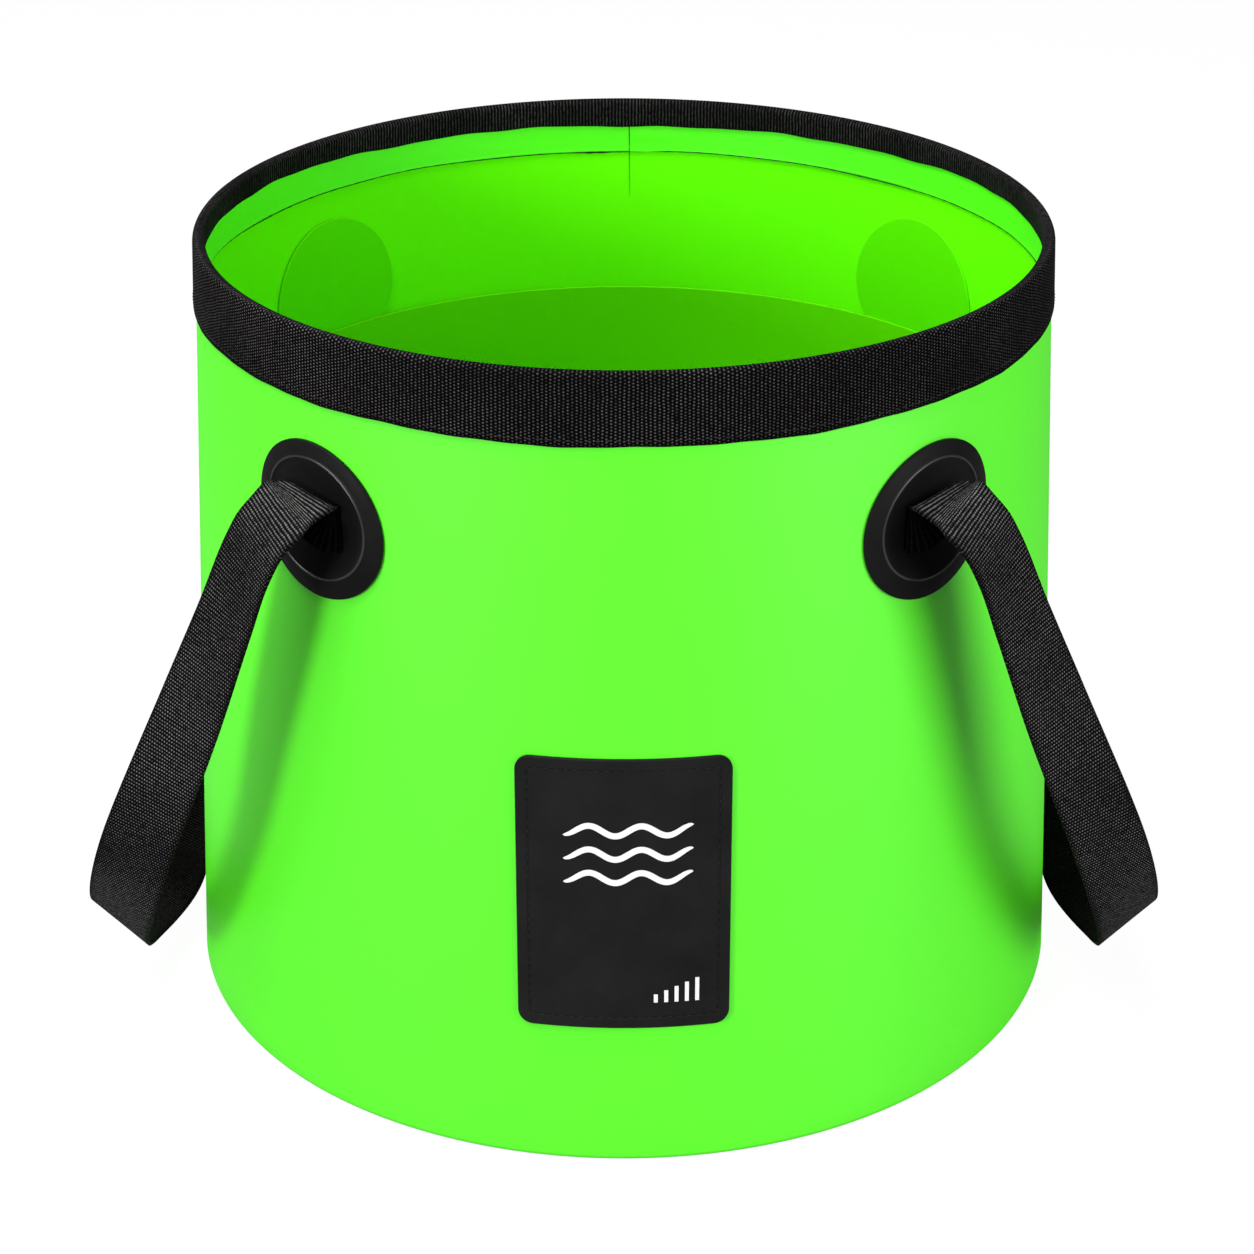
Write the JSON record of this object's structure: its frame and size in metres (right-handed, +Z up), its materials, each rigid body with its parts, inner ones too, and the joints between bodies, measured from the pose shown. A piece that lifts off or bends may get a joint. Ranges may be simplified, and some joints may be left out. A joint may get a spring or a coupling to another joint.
{
  "type": "collapsible camp bucket",
  "caption": "Folding tarpaulin bucket with a webbing rim, round moulded handle pads, webbing carrying handles and a sewn front patch; it folds down flat.",
  "frame": {"origin": "middle of the base on the ground", "axes": "+Z up the axis of the standing bucket, front with the sewn patch facing -Y, handles at -X and +X"},
  "size_m": [0.3798, 0.3198, 0.2805],
  "materials": {
    "wall_tarpaulin": "smooth bright green PVC tarpaulin, soft sheen",
    "liner_tarpaulin": "smooth darker green PVC tarpaulin",
    "patch_tarpaulin": "smooth darker green PVC tarpaulin",
    "stiffener_plastic": "plain flexible plastic strip",
    "webbing": "black ribbed woven webbing",
    "pad_rubber": "black moulded soft plastic, satin",
    "label_rubber": "black flat moulded rubber, matt"
  },
  "bodies": {
    "base": {"body_wall": "wall_tarpaulin", "base_panel": "wall_tarpaulin", "inner_liner": "liner_tarpaulin", "label_patch": "label_rubber"},
    "rim": {"rim_binding": "webbing", "rim_stiffener": "stiffener_plastic", "front_left_pad": "pad_rubber", "front_right_pad": "pad_rubber", "back_left_pad": "pad_rubber", "back_right_pad": "pad_rubber", "front_left_patch": "patch_tarpaulin", "front_right_patch": "patch_tarpaulin", "back_left_patch": "patch_tarpaulin", "back_right_patch": "patch_tarpaulin", "front_left_tab": "webbing", "front_right_tab": "webbing", "back_left_tab": "webbing", "back_right_tab": "webbing"},
    "left_loop": {"left_handle": "webbing"},
    "right_loop": {"right_handle": "webbing"}
  },
  "joints": [
    {"name": "collapse", "type": "slide", "parent": "base", "child": "rim", "axis": [0, 0, -1], "range_m": [0, 0.115], "deforming": ["body_wall", "inner_liner"]},
    {"name": "left_handle_swing", "type": "hinge", "parent": "rim", "child": "left_loop", "pos_m": [-0.11951, -0.00815, 0.23336], "axis": [-0.068, 0.9977, 0], "range_deg": [0, 160]},
    {"name": "right_handle_swing", "type": "hinge", "parent": "rim", "child": "right_loop", "pos_m": [0.11951, -0.00815, 0.23336], "axis": [-0.068, -0.9977, 0], "range_deg": [0, 160]}
  ]
}
